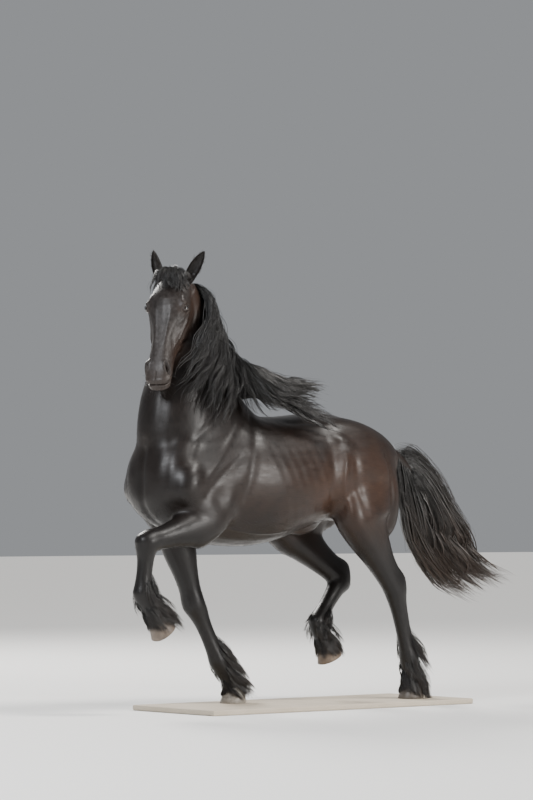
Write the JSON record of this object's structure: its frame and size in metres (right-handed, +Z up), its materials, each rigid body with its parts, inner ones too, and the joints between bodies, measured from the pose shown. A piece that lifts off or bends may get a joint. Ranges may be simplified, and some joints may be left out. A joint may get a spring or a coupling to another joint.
{
  "type": "horse model",
  "caption": "Life-size still model of a Friesian stallion in a collected trot with flowing mane, tail and feathered legs, on a flat display base.",
  "frame": {"origin": "centre of the display base's underside", "axes": "-Y is the way the horse faces, +X is its left side, +Z is up"},
  "size_m": [0.7, 2.912, 2.4613],
  "materials": {
    "coat": "short glossy black hair",
    "hair": "long wavy black hair",
    "hoof": "dusty horn",
    "eye": "glossy",
    "base": "matt sand colour"
  },
  "bodies": {
    "root": {"stand_base": "base", "torso": "coat", "neck": "coat", "head": "coat", "ear_left": "coat", "ear_right": "coat", "eye_left": "eye", "eye_right": "eye", "tail": "hair", "fore_left_upper": "coat", "fore_left_cannon": "coat", "fore_left_hoof": "hoof", "fore_right_upper": "coat", "fore_right_cannon": "coat", "fore_right_hoof": "hoof", "hind_left_upper": "coat", "hind_left_cannon": "coat", "hind_left_hoof": "hoof", "hind_right_upper": "coat", "hind_right_cannon": "coat", "hind_right_hoof": "hoof"}
  },
  "joints": []
}
